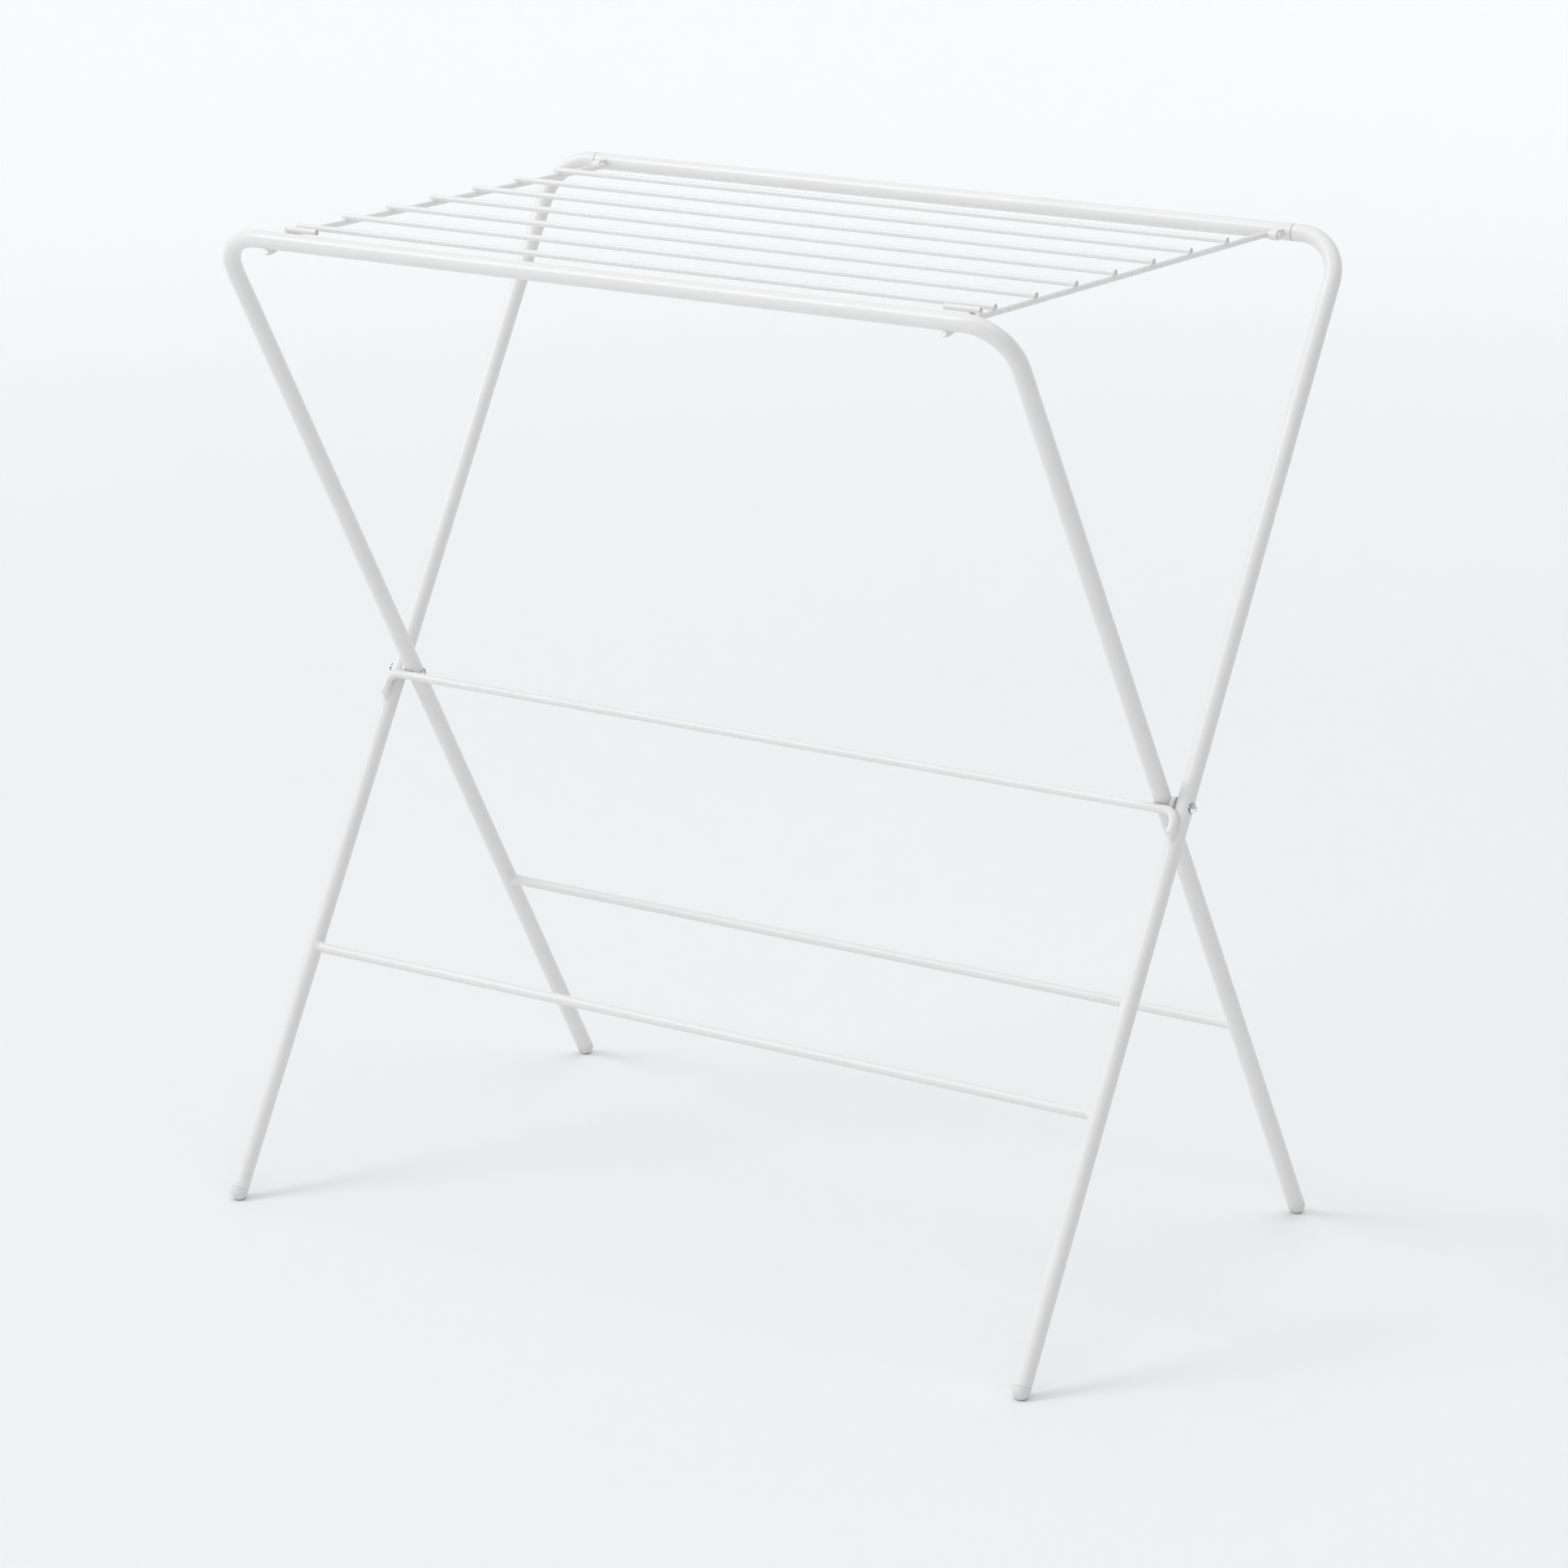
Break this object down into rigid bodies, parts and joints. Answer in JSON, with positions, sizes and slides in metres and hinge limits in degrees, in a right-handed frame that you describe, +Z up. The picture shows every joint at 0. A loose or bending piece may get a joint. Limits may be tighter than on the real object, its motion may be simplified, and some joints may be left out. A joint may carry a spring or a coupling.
{
  "type": "folding clothes airer",
  "caption": "Free-standing folding clothes airer: two round-tube frames riveted in an X, with a grid of wire hanging rods across the top.",
  "frame": {"origin": "on the floor, under the middle of the airer's bounding box, opened out", "axes": "+X along the top bars to the right, +Y towards the rear bar that carries the grid's hinges, +Z up"},
  "size_m": [0.888, 0.546, 0.928],
  "materials": {
    "tube": "satin white powder coat",
    "wire": "satin white powder coat",
    "rivet": "bright zinc-plated steel",
    "washer": "white plastic",
    "foot_cap": "white plastic"
  },
  "bodies": {
    "outer_frame": {"outer_leg_left": "tube", "outer_leg_right": "tube", "rear_top_bar": "tube", "outer_cross_bar": "tube", "stop_rod": "wire", "grid_bracket_left": "tube", "grid_bracket_right": "tube", "front_foot_left": "foot_cap", "front_foot_right": "foot_cap", "pivot_rivet_left": "rivet", "pivot_rivet_right": "rivet", "pivot_washer_left": "washer", "pivot_washer_right": "washer"},
    "inner_frame": {"inner_frame_tube": "tube", "inner_cross_bar": "tube", "rear_foot_left": "foot_cap", "rear_foot_right": "foot_cap", "wire_catch_left": "wire", "wire_catch_right": "wire"},
    "grid": {"side_wire_left": "wire", "side_wire_right": "wire", "hanging_rod_1": "wire", "hanging_rod_2": "wire", "hanging_rod_3": "wire", "hanging_rod_4": "wire", "hanging_rod_5": "wire", "hanging_rod_6": "wire", "hanging_rod_7": "wire", "catch_rod_left": "wire", "catch_rod_right": "wire"}
  },
  "joints": [
    {"name": "frame_fold", "type": "hinge", "parent": "outer_frame", "child": "inner_frame", "pos_m": [0, 0, 0.46], "axis": [-1, 0, 0], "range_deg": [0, 52.5]},
    {"name": "grid_swing", "type": "hinge", "parent": "outer_frame", "child": "grid", "pos_m": [0, 0.249, 0.9187], "axis": [-1, 0, 0], "range_deg": [0, 116]}
  ],
  "couplings": [
    {"joint": "grid_swing", "follows": "frame_fold", "ratio": 2.2}
  ]
}
